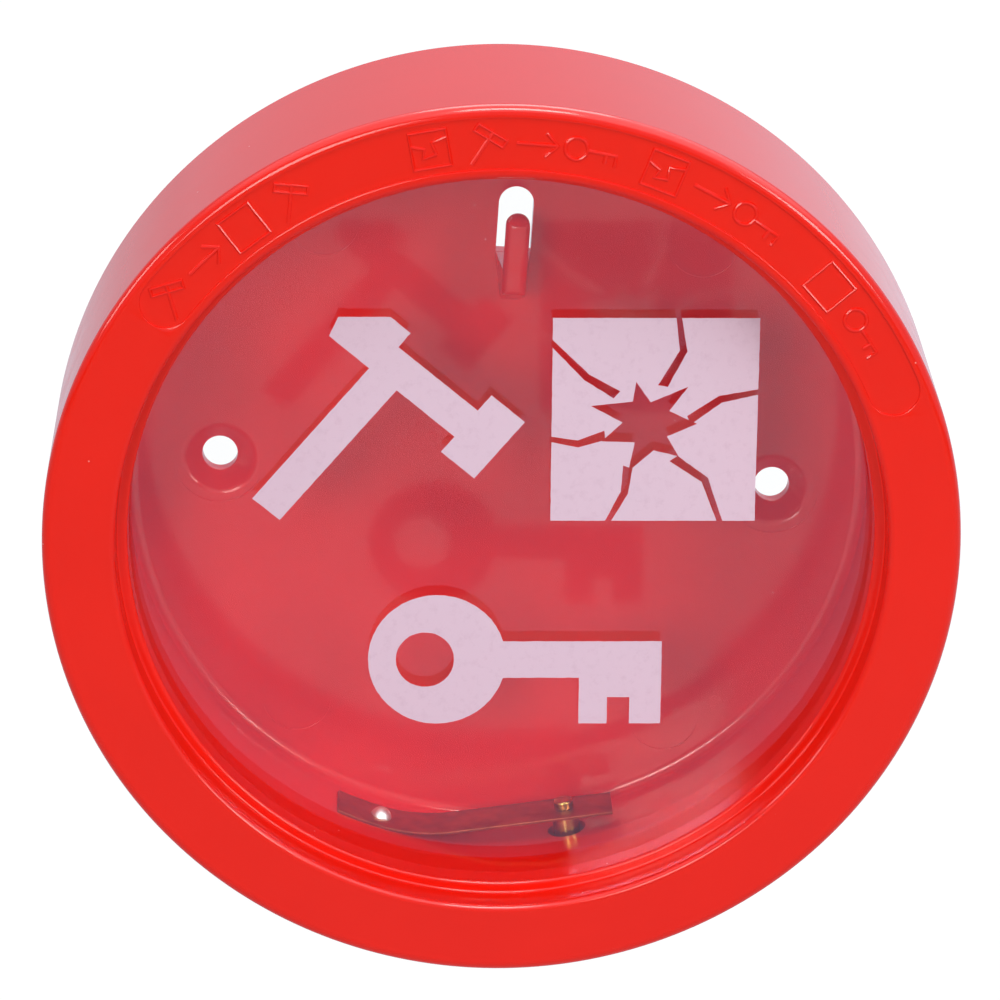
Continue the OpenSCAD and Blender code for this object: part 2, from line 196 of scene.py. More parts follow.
class Bench:
    """Blender's own modelling tools, used as by hand. Points are in millimetres in the frame of the box."""

    @staticmethod
    def clear() -> None:
        """Leaves edit mode and deselects everything."""
        if bpy.context.object and bpy.context.object.mode != "OBJECT":
            bpy.ops.object.mode_set(mode="OBJECT")
        bpy.ops.object.select_all(action="DESELECT")

    @staticmethod
    def take(piece: Piece) -> None:
        """Makes a piece the one that the tools work on.

        Args:
            piece: The piece.
        """
        Bench.clear()
        piece.select_set(True)
        bpy.context.view_layer.objects.active = piece

    @staticmethod
    def chain(name: str, points: list[Vector], closed: bool) -> Piece:
        """Draws a chain of edges, one point after the other, and stays in edit mode.

        Args:
            name: The new piece's name.
            points: The points in order.
            closed: Whether an edge joins the last point to the first.

        Returns:
            The new piece.
        """
        Bench.clear()
        bpy.ops.mesh.primitive_plane_add(size=MM)
        piece = bpy.context.object
        piece.name = piece.data.name = name
        bpy.ops.object.mode_set(mode="EDIT")
        bpy.ops.mesh.select_mode(type="VERT")
        bpy.ops.mesh.select_all(action="SELECT")
        bpy.ops.mesh.merge(type="CENTER")
        bpy.ops.transform.translate(value=points[0] * MM)
        for here, there in pairwise(points):
            bpy.ops.mesh.extrude_vertices_move(TRANSFORM_OT_translate={"value": (there - here) * MM})
        if closed:
            mesh = bmesh.from_edit_mesh(piece.data)
            mesh.verts.ensure_lookup_table()
            ends = [v for v in mesh.verts if len(v.link_edges) == 1]
            mesh.edges.new(ends)
            bmesh.update_edit_mesh(piece.data)
        bpy.ops.mesh.select_all(action="SELECT")
        return piece

    @staticmethod
    def close_up(piece: Piece) -> Piece:
        """Merges doubles, turns all faces outwards and leaves edit mode.

        Args:
            piece: The piece that the tools work on.

        Returns:
            The same piece.
        """
        bpy.ops.object.mode_set(mode="EDIT")
        bpy.ops.mesh.select_mode(type="VERT")
        bpy.ops.mesh.select_all(action="SELECT")
        bpy.ops.mesh.remove_doubles(threshold=0.002 * MM)
        bpy.ops.mesh.dissolve_degenerate(threshold=0.002 * MM)
        bpy.ops.mesh.select_all(action="SELECT")
        bpy.ops.mesh.normals_make_consistent(inside=False)
        Bench.clear()
        return piece

    @staticmethod
    def lathe(name: str, outline: list[Spot], closed: bool = True, steps: int = 256) -> Piece:
        """Turns an outline about the axis of the box.

        Args:
            name: The new piece's name.
            outline: Radius and height above the wall of each point. Points on the axis are left to a flat fill.
            closed: Whether the outline closes on itself, and doesn't start and end on the axis.
            steps: The number of faces round the turn.

        Returns:
            The new piece.
        """
        piece = Bench.chain(name, [Vector((r, -h, 0)) for r, h in outline if r > 0], closed)
        bpy.ops.mesh.spin(steps=steps, angle=TURN, center=(0, 0, 0), axis=(0, 1, 0))
        bpy.ops.mesh.select_all(action="SELECT")
        bpy.ops.mesh.remove_doubles(threshold=0.0005 * MM)
        bpy.ops.mesh.fill_holes(sides=0)
        return Bench.close_up(piece)

    @staticmethod
    def plate(name: str, outline: list[Vector], lift: Vector) -> Piece:
        """Fills a closed outline and pulls it up to a plate.

        Args:
            name: The new piece's name.
            outline: The points of the outline, in one plane.
            lift: How far and which way the face is pulled.

        Returns:
            The new piece.
        """
        piece = Bench.chain(name, outline, True)
        bpy.ops.mesh.edge_face_add()
        bpy.ops.mesh.extrude_region_move(TRANSFORM_OT_translate={"value": lift * MM})
        return Bench.close_up(piece)

    @staticmethod
    def wire(name: str, points: list[Vector], radius: float, closed: bool) -> Piece:
        """Draws a round wire along a chain of points.

        Args:
            name: The new piece's name.
            points: The points in order.
            radius: The wire's radius.
            closed: Whether the wire runs back to its first point.

        Returns:
            The new piece.
        """
        wire = Bench.chain(name, points, closed)
        Bench.take(wire)
        bpy.ops.object.convert(target="CURVE")
        wire.data.bevel_depth, wire.data.bevel_resolution = radius * MM, 3
        wire.data.use_fill_caps = True
        bpy.ops.object.convert(target="MESH")
        return Bench.close_up(bpy.context.object)

    @staticmethod
    def use(piece: Piece, tool: Piece, cut: Cut) -> None:
        """Cuts, adds or crosses a piece with a tool shape, which is used up.

        Args:
            piece: The piece that stays.
            tool: The tool shape.
            cut: What is done with it.
        """
        step = piece.modifiers.new("cut", "BOOLEAN")
        step.object, step.operation, step.solver = tool, cut.value, "EXACT"
        Bench.take(piece)
        bpy.ops.object.modifier_apply(modifier=step.name)
        bpy.data.objects.remove(tool)
        Bench.close_up(piece)

    @staticmethod
    def soften(piece: Piece, width: float, angle: float = 30, segments: int = 3) -> Piece:
        """Rounds the sharp edges of a piece.

        Args:
            piece: The piece.
            width: The width of the rounding, in millimetres.
            angle: The least angle of an edge that is rounded, in degrees.
            segments: The number of faces across the rounding.

        Returns:
            The same piece.
        """
        step = piece.modifiers.new("soften", "BEVEL")
        step.width, step.segments, step.limit_method = width * MM, segments, "ANGLE"
        step.angle_limit, step.use_clamp_overlap = math.radians(angle), True
        Bench.take(piece)
        bpy.ops.object.modifier_apply(modifier=step.name)
        return Bench.close_up(piece)

    @staticmethod
    def copy(piece: Piece) -> Piece:
        """Copies a piece, with a mesh of its own.

        Args:
            piece: The piece.

        Returns:
            The copy.
        """
        Bench.take(piece)
        bpy.ops.object.duplicate(linked=False)
        return bpy.context.object

    @staticmethod
    def put(piece: Piece, place: Matrix) -> Piece:
        """Moves a piece to its place and puts that place into its mesh.

        Args:
            piece: The piece.
            place: The place, with distances in metres.

        Returns:
            The same piece.
        """
        piece.matrix_world = place @ piece.matrix_world
        Bench.take(piece)
        bpy.ops.object.transform_apply(location=True, rotation=True, scale=True)
        return piece

    @staticmethod
    def join(pieces: list[Piece]) -> Piece:
        """Joins pieces into the first of them.

        Args:
            pieces: The pieces.

        Returns:
            The first piece, which now holds all of them.
        """
        Bench.clear()
        for piece in pieces:
            piece.select_set(True)
        bpy.context.view_layer.objects.active = pieces[0]
        if len(pieces) > 1:
            bpy.ops.object.join()
        return pieces[0]

    @staticmethod
    def shade(piece: Piece, angle: float = 30) -> Piece:
        """Shades a piece smooth, except across edges sharper than an angle.

        Args:
            piece: The piece.
            angle: That angle, in degrees.

        Returns:
            The same piece.
        """
        Bench.take(piece)
        bpy.ops.object.shade_smooth_by_angle(angle=math.radians(angle))
        return piece


@dataclass(frozen=True)
class Finish:
    """A surface, named for what the real one is and how it was made."""

    name: str

    def material(self) -> bpy.types.Material:
        """Makes the surface's material, once.

        Returns:
            The material.
        """
        found = bpy.data.materials.get(self.name)
        if found:
            return found
        made = bpy.data.materials.new(self.name)
        made.use_nodes = True
        made.node_tree.nodes.clear()
        shader = self.shader(made.node_tree)
        add_node(made.node_tree, "ShaderNodeOutputMaterial", {"Surface": shader})
        return made

    def shader(self, tree: Tree) -> Socket:
        """Builds the nodes of the surface, and gives the socket for the material's output."""
        raise NotImplementedError


@dataclass(frozen=True)
class GlossPlastic(Finish):
    """Coloured resin, injection moulded in a polished mould: deep gloss, with the mould's faint waviness."""

    colour: str = "#EE1A07"
    flow_colour: str = "#E61706"
    roughness: float = 0.10
    rubbed_roughness: float = 0.17
    ior: float = 1.44
    sheen_tint: str = "#FFFCF6"
    flow_mm: float = 14.0
    dust_colour: str = "#F2B4AC"
    dust_mm: float = 5.0
    rub_mm: float = 5.0
    wave_mm: float = 3.5
    wave_height_mm: float = 0.003

    def shader(self, tree: Tree) -> Socket:
        """Builds the resin's colour, its rubbed gloss and its waviness.

        Args:
            tree: The material's node tree.

        Returns:
            The socket that goes to the material's output.
        """
        place = add_node(tree, "ShaderNodeTexCoord").outputs["Object"]
        flow = cloud(tree, place, self.flow_mm, Detail=3.0)
        colour = tint(tree, flow, linear(self.colour), linear(self.flow_colour))
        # Dust specks up to 0.25 mm across, about one to every five square centimetres.
        scale = 1 / (self.dust_mm * MM)
        speck = add_node(tree, "ShaderNodeTexVoronoi", {"Vector": place, "Scale": scale}).outputs["Distance"]
        dust = ramp(tree, speck, (0.017, 0.026), (0.6, 0.0))
        colour = tint(tree, dust, colour, linear(self.dust_colour))
        rub = cloud(tree, place, self.rub_mm, Detail=6.0, Roughness=0.65)
        gloss = ramp(tree, rub, (0.4, 0.75), (self.roughness, self.rubbed_roughness))
        wave = cloud(tree, place, self.wave_mm, Detail=1.0)
        bump = ripple(tree, wave, self.wave_height_mm)
        looks = {"Base Color": colour, "Roughness": gloss, "IOR": self.ior, "Normal": bump}
        looks["Specular Tint"] = linear(self.sheen_tint)
        return add_node(tree, "ShaderNodeBsdfPrincipled", looks).outputs["BSDF"]


@dataclass(frozen=True)
class FloatGlass(Finish):
    """Clear float glass, cut to a disc: lamps shine through it, and it veils what is behind it."""

    colour: str = "#FBFCFD"
    veil_tint: str = "#E8D2FF"
    ior: float = 1.52
    roughness: float = 0.0

    def shader(self, tree: Tree) -> Socket:
        """Builds clear glass that casts no shadow of its own.

        Args:
            tree: The material's node tree.

        Returns:
            The socket that goes to the material's output.
        """
        looks = {"Base Color": linear(self.colour), "Roughness": self.roughness, "IOR": self.ior}
        looks |= {"Transmission Weight": 1.0, "Specular Tint": linear(self.veil_tint)}
        glass = add_node(tree, "ShaderNodeBsdfPrincipled", looks).outputs["BSDF"]
        clear = add_node(tree, "ShaderNodeBsdfTransparent", {"Color": linear("#FCFCFC")}).outputs["BSDF"]
        path = add_node(tree, "ShaderNodeLightPath")
        passes = reckon(tree, "MAXIMUM", path.outputs["Is Shadow Ray"], path.outputs["Is Diffuse Ray"])
        return layer(tree, passes, glass, clear)


@dataclass(frozen=True)
class ScreenInk(Finish):
    """Opaque ceramic ink, screen printed on the glass: flat, with thin spots where the screen's mesh was."""

    colour: str = "#DDC2D3"
    thin_colour: str = "#D6B9CB"
    thin_mm: float = 1.2
    roughness: float = 0.42
    ior: float = 1.5

    def shader(self, tree: Tree) -> Socket:
        """Builds the ink's colour with its thin spots.

        Args:
            tree: The material's node tree.

        Returns:
            The socket that goes to the material's output.
        """
        place = add_node(tree, "ShaderNodeTexCoord").outputs["Object"]
        thin = cloud(tree, place, self.thin_mm, Detail=4.0, Roughness=0.7)
        colour = tint(tree, ramp(tree, thin, (0.52, 0.72)), linear(self.colour), linear(self.thin_colour))
        looks = {"Base Color": colour, "Roughness": self.roughness, "IOR": self.ior}
        return add_node(tree, "ShaderNodeBsdfPrincipled", looks).outputs["BSDF"]


@dataclass(frozen=True)
class Metal(Finish):
    """Bare or plated metal, with a lay that its making left: rolled, turned or polished."""

    colour: str = "#C8C8CC"
    stain_colour: str = "#B0B0B6"
    roughness: float = 0.18
    stain_mm: float = 2.0
    lay_mm: Point = (0.3, 0.3, 0.3)
    lay_height_mm: float = 0.002

    def shader(self, tree: Tree) -> Socket:
        """Builds the metal's colour, its stains and its lay.

        Args:
            tree: The material's node tree.

        Returns:
            The socket that goes to the material's output.
        """
        place = add_node(tree, "ShaderNodeTexCoord").outputs["Object"]
        stain = cloud(tree, place, self.stain_mm, Detail=5.0, Roughness=0.6)
        colour = tint(tree, ramp(tree, stain, (0.38, 0.66)), linear(self.colour), linear(self.stain_colour))
        scale = tuple(1 / (s * MM) for s in self.lay_mm)
        lay_place = add_node(tree, "ShaderNodeMapping", {"Vector": place, "Scale": scale}).outputs["Vector"]
        lay = add_node(tree, "ShaderNodeTexNoise", {"Vector": lay_place, "Scale": 1.0, "Detail": 2.0}).outputs["Fac"]
        bump = ripple(tree, lay, self.lay_height_mm)
        looks = {"Base Color": colour, "Metallic": 1.0, "Roughness": self.roughness, "Normal": bump}
        return add_node(tree, "ShaderNodeBsdfPrincipled", looks).outputs["BSDF"]


# The polished mould gives the ring an even, deep red, and the skirt a soft pale image of the studio.
RED_RESIN = GlossPlastic("injection_moulded_red_abs")
# The glass itself is seen only as a cool veil over the chamber, and as the print's ghost on the back.
CLEAR_GLASS = FloatGlass("float_glass")
# The ink is the one flat surface, so the print stands out pale from all the gloss round it.
INK = ScreenInk("screen_printed_ceramic_ink")
# The rolling lines along the leaf dull it to a brown strip that takes up the red of the chamber.
BRONZE = Metal(
    "rolled_phosphor_bronze",
    "#B86A48",
    "#9A5438",
    roughness=0.30,
    stain_mm=3.0,
    lay_mm=(4.0, 0.12, 4.0),
    lay_height_mm=0.0015,
)
# The plating makes the rivet's dome the brightest spot in the chamber, with a soft edge.
NICKEL = Metal("nickel_plated_steel", "#F2F2F4", "#DEDEE2", roughness=0.45)
# The turning lines stretch the lamps to pale yellow stripes down the stud.
BRASS = Metal("turned_brass", "#C9A45E", "#A88348", roughness=0.26, stain_mm=1.2, lay_mm=(0.5, 0.5, 0.08))


def fit_out(piece: Piece, body: Body | None, finish: Finish, node: str | None) -> Piece:
    """Gives a finished piece its surface, hangs it on the body that it moves with, and hides the solid that it stands
    for.

    Args:
        piece: The piece.
        body: What it moves with, if that is one body.
        finish: Its surface.
        node: The solid that it stands for, if any.

    Returns:
        The same piece.
    """
    piece.data.materials.clear()
    piece.data.materials.append(finish.material())
    if body:
        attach(piece, body.value)
    if node:
        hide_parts(node)
    LOG.info("%s: %d faces, on %s", piece.name, len(piece.data.polygons), body.value if body else "two bodies")
    return piece


@dataclass
class RingCover:
    """The cover: a front ring with a stepped bore, a drafted skirt, and an inner sleeve tied to it by ribs."""

    cover_r: float = 60.0
    skirt_r: float = 60.5
    bore_r: float = 50.5
    lip_r: float = 49.1
    sleeve_in_r: float = 53.5
    sleeve_out_r: float = 55.5
    front_h: float = 37.0
    lip_h: float = 32.2
    seat_h: float = 28.5
    skirt_h: float = 5.8
    sleeve_h: float = 7.7
    shell: float = 2.4
    rim_round: float = 1.3
    rib_h: float = 12.8
    rib_w: float = 1.2
    ribs: int = 12
    band_in_r: float = 51.75
    band_out_r: float = 58.4
    band_depth: float = 0.25
    band_span: float = 118.0
    band_turn: float = 3.7
    lock_r: float = 2.25
    lock_middle_r: float = 54.3
    step_h: float = 31.6
    shoulder_h: float = 29.0

    def outline(self) -> list[Spot]:
        """Gives the cover's half section.

        Returns:
            Radius and height of each point.
        """
        core_r = self.bore_r + self.shell
        inner_r = self.cover_r - self.shell
        back = self.front_h - self.shell
        section = [
            (self.lip_r, self.seat_h, 0.15),
            (self.lip_r, self.lip_h, 0.4),
            (self.bore_r, self.lip_h, 0.25),
            (self.bore_r, self.front_h, 0.8),
            (self.cover_r, self.front_h, self.rim_round),
            (self.skirt_r, self.skirt_h, 0.3),
            (self.skirt_r - self.shell, self.skirt_h, 0.3),
            (inner_r, back, 0.5),
            (core_r, back, 0.4),
            (core_r, self.step_h, 0.3),
            (self.sleeve_out_r, self.shoulder_h, 0.5),
            (self.sleeve_out_r, self.sleeve_h, 0.3),
            (self.sleeve_in_r, self.sleeve_h, 0.3),
            (self.sleeve_in_r, self.seat_h, 0.15),
        ]
        return rounded(section)

    def band(self) -> list[Vector]:
        """Gives the outline of the sunk band, with its round ends.

        Returns:
            Its points, level with the front face.
        """
        middle_r = (self.band_in_r + self.band_out_r) / 2
        end_r = (self.band_out_r - self.band_in_r) / 2
        left = 90 - self.band_turn + self.band_span / 2
        right = left - self.band_span
        ends = arc((0, 0), middle_r, left, right, 1)
        points = arc((0, 0), self.band_out_r, left, right, 118)[:-1]
        points += arc(ends[1], end_r, right, right - 180, 20)[:-1]
        points += arc((0, 0), self.band_in_r, right, left, 118)[:-1]
        points += arc(ends[0], end_r, left + 180, left, 20)[:-1]
        return [Vector((x, self.band_depth - self.front_h, z)) for x, z in points]

    def rib(self) -> Piece:
        """Makes one rib, which fills a slice of the channel.

        Returns:
            The rib.
        """
        sleeve_mid, skirt_mid = self.sleeve_out_r - 1, self.cover_r - self.shell / 2
        top, core = self.front_h - 1.2, self.bore_r + 1.8
        outline = [(sleeve_mid, self.rib_h), (skirt_mid, self.rib_h), (skirt_mid, top), (core, top)]
        outline += [(core, self.step_h), (sleeve_mid, self.shoulder_h + 0.4)]
        points = [Vector((r, -h, -self.rib_w / 2)) for r, h in outline]
        return Bench.soften(Bench.plate("rib", points, Vector((0, 0, self.rib_w))), 0.15, segments=1)

    def build(self) -> Piece:
        """Makes the cover.

        Returns:
            The cover.
        """
        cover = Bench.lathe("ring_cover", self.outline())
        Bench.use(cover, Bench.plate("band", self.band(), Vector((0, -1, 0))), Cut.TAKE_AWAY)
        self.soften_band(cover)
        hole = Bench.lathe("lock_hole", [(0, -2), (self.lock_r, -2), (self.lock_r, 2), (0, 2)], False, 48)
        Bench.put(hole, Catch().stud_place(self.lock_middle_r))
        Bench.use(cover, hole, Cut.TAKE_AWAY)
        rib = self.rib()
        ribs = [rib] + [Bench.copy(rib) for _ in range(self.ribs - 1)]
        for i, one in enumerate(ribs):
            Bench.put(one, Matrix.Rotation(TURN * i / self.ribs, 4, "Y"))
        return Bench.shade(Bench.join([cover, *ribs, *BandSigns(self.front_h - self.band_depth).build()]))

    def soften_band(self, cover: Piece) -> None:
        """Rounds the edge of the sunk band a little, as the mould leaves it.

        Args:
            cover: The cover with its band cut.
        """
        Bench.take(cover)
        bpy.ops.object.mode_set(mode="EDIT")
        bpy.ops.mesh.select_mode(type="EDGE")
        bpy.ops.mesh.select_all(action="DESELECT")
        mesh = bmesh.from_edit_mesh(cover.data)
        front = -self.front_h * MM
        for edge in mesh.edges:
            level = all(abs(v.co.y - front) < 0.002 * MM for v in edge.verts)
            sharp = len(edge.link_faces) == 2 and edge.calc_face_angle() > math.radians(60)
            edge.select_set(level and sharp)
        bmesh.update_edit_mesh(cover.data)
        bpy.ops.mesh.bevel(offset=0.12 * MM, segments=2, affect="EDGES")
        Bench.clear()


@dataclass
class BandSigns:
    """Small raised signs in the sunk band, in thin lines: a hammer, an arrow, a pane and a key."""

    floor_h: float
    middle_r: float = 55.1
    wire_r: float = 0.27
    raised: float = 0.23
    size: float = 1.2

    def sign(self, lines: list[list[Spot]]) -> Piece:
        """Makes a sign of several bent lines.

        Args:
            lines: The points of each line, beside and above the sign's middle. A closed line ends where it starts.

        Returns:
            The sign, at the top of the band.
        """
        depth = -(self.floor_h + self.raised - self.wire_r)
        wires = []
        for line in lines:
            closed = line[0] == line[-1]
            points = [Vector((x * self.size, depth, self.middle_r + z * self.size)) for x, z in line]
            wires.append(Bench.wire("sign", points[:-1] if closed else points, self.wire_r, closed))
        return Bench.join(wires)

    def build(self) -> list[Piece]:
        """Makes the signs and sets them round the band.

        Returns:
            The signs.
        """
        ring = arc((-1.7, 0), 1.2, 0, 348, 29)
        ring.append(ring[0])
        head = [(-0.5, 2.2), (2.4, 0.2), (1.9, -0.5), (-1.0, 1.5), (-0.5, 2.2)]
        hammer = self.sign([[(-1.4, -2.2), (1.0, 1.2)], head])
        arrow = self.sign([[(-2.2, 0), (2.2, 0)], [(0.9, 1.3), (2.2, 0), (0.9, -1.3)]])
        box = [(-2.0, -2.0), (2.0, -2.0), (2.0, 2.0), (-2.0, 2.0), (-2.0, -2.0)]
        pane = self.sign([box])
        cracks = [[(-2.0, 0.6), (-0.6, 0.1), (-0.9, -0.9), (0.6, -0.6)], [(0.6, -0.6), (0.3, 0.7), (2.0, 1.1)]]
        broken = self.sign([box, *cracks])
        key = self.sign([ring, [(-0.5, 0), (2.6, 0), (2.6, -1.2)], [(1.5, 0), (1.5, -1.0)]])
        row = {
            hammer: (144.5, 96.3, 123.3),
            arrow: (137.5, 89.3, 65.0),
            pane: (130.5, 44.5),
            broken: (103.5, 72.0),
            key: (82.0, 57.7, 36.5),
        }
        signs = []
        for sign, angles in row.items():
            for angle in angles:
                one = Bench.copy(sign)
                signs.append(Bench.put(one, Matrix.Rotation(math.radians(90 - angle), 4, "Y")))
            bpy.data.objects.remove(sign)
        return signs


@dataclass
class GlassPane:
    """The breakable disc, with its ground edge."""

    radius: float = 52.9
    back_h: float = 25.5
    front_h: float = 28.5
    ground: float = 0.4

    def build(self) -> Piece:
        """Makes the disc.

        Returns:
            The disc.
        """
        flat_r = self.radius - self.ground
        outline = [(0, self.back_h), (flat_r, self.back_h), (self.radius, self.back_h + self.ground)]
        outline += [(self.radius, self.front_h - self.ground), (flat_r, self.front_h), (0, self.front_h)]
        return Bench.shade(Bench.lathe("glass_pane", outline, False, 192))


@dataclass
class GlassPrint:
    """What is printed on the pane: a hammer beside a broken pane, and a key below them."""

    glass_h: float = 28.5
    thick: float = 0.03
    turn: float = 3.4
    rough: float = 0.05

    def shape(self, outline: list[Spot]) -> Piece:
        """Prints one filled shape, whose edge wavers a little where the screen's mesh was.

        Args:
            outline: Its corners, to the right of and above the middle of the pane.

        Returns:
            The shape.
        """
        points: list[Vector] = []
        for (x, y), (u, v) in pairwise([*outline, outline[0]]):
            parts = max(1, round(math.hypot(u - x, v - y) / 0.7))
            points += [Vector((x + (u - x) * i / parts, 0, y + (v - y) * i / parts)) for i in range(parts)]
        shift = Vector((9, 9, 9))
        stray = [Vector((noise.noise(p * 1.9), 0, noise.noise(p * 1.9 + shift))) * self.rough for p in points]
        turned = Matrix.Rotation(math.radians(-self.turn), 3, "Y")
        flat = [turned @ (p + by) + Vector((0, -self.glass_h, 0)) for p, by in zip(points, stray)]
        return Bench.plate("shape", flat, Vector((0, -self.thick, 0)))

    def cracked_pane(self) -> Piece:
        """Prints the broken pane: a square with a jagged hole and cracks that run out to its edges.

        Returns:
            The shape.
        """
        pane = self.shape([(6.5, 1.5), (33.5, 1.5), (33.5, 29.5), (6.5, 29.5)])
        middle = Vector((19.0, 15.0))
        reach = (6.6, 3.4, 7.4, 3.0, 6.0, 3.6, 7.8, 3.2, 6.4, 3.0, 7.0, 3.8, 6.2, 3.2)
        hole = []
        for i, r in enumerate(reach):
            angle = TURN * (i + 0.3 * math.sin(2.3 * i)) / len(reach)
            hole.append((middle.x + r * math.cos(angle), middle.y + r * math.sin(angle)))
        gaps = [hole]
        for tip, bend, end in (
            ((24.5, 15.5), (28.6, 18.4), (34.5, 19.6)),
            ((21.0, 20.2), (23.6, 25.0), (22.8, 30.5)),
            ((15.0, 19.0), (11.0, 21.4), (5.5, 27.0)),
            ((13.5, 13.4), (10.0, 12.2), (5.5, 13.0)),
            ((16.6, 9.0), (16.2, 5.4), (13.6, 0.5)),
            ((22.6, 10.2), (26.8, 7.2), (29.2, 0.5)),
        ):
            run = [Vector(tip), Vector(bend), Vector(end)]
            across = (run[2] - run[0]).normalized().orthogonal()
            widths = (0.65, 0.5, 0.35)
            one = [tuple(p + across * w) for p, w in zip(run, widths)]
            gaps.append(one + [tuple(p - across * w) for p, w in zip(run[::-1], widths[::-1])])
        for gap in gaps:
            Bench.use(pane, self.deepen(self.shape(gap)), Cut.TAKE_AWAY)
        return pane

    def deepen(self, tool: Piece) -> Piece:
        """Makes a printed shape thick enough to cut with.

        Args:
            tool: The shape.

        Returns:
            The same shape, far thicker than the print.
        """
        Bench.take(tool)
        bpy.ops.object.mode_set(mode="EDIT")
        bpy.ops.mesh.select_all(action="SELECT")
        bpy.ops.transform.resize(value=(1, 40, 1), center_override=(0, -(self.glass_h + self.thick / 2) * MM, 0))
        Bench.clear()
        return tool

    def build(self) -> Piece:
        """Makes the whole print.

        Returns:
            The print.
        """
        hammer = self.shape(
            [(-32.8, 4.6), (-29.2, 1.6), (-13.8, 19.6), (-6.2, 13.2), (-8.0, 11.1), (-3.6, 7.4), (3.0, 15.2),
             (-1.4, 18.9), (-3.2, 16.8), (-13.6, 25.5), (-12.0, 27.4), (-14.6, 29.6), (-21.4, 29.6), (-22.6, 27.0),
             (-17.4, 22.6)]
        )
        bow = arc((-8.4, -18.2), 9.2, 16.5, 343.5, 44)
        blade = [(10.6, -20.8), (10.6, -27.4), (14.4, -27.4), (14.4, -23.6), (17.4, -23.6), (17.4, -27.4)]
        key = self.shape([*bow, *blade, (21.6, -27.4), (21.6, -15.6)])
        Bench.use(key, self.deepen(self.shape(arc((-10.0, -18.2), 3.9, 0, 348, 29))), Cut.TAKE_AWAY)
        printed = Bench.join([self.cracked_pane(), hammer, key])
        printed.name = printed.data.name = "glass_print"
        return printed


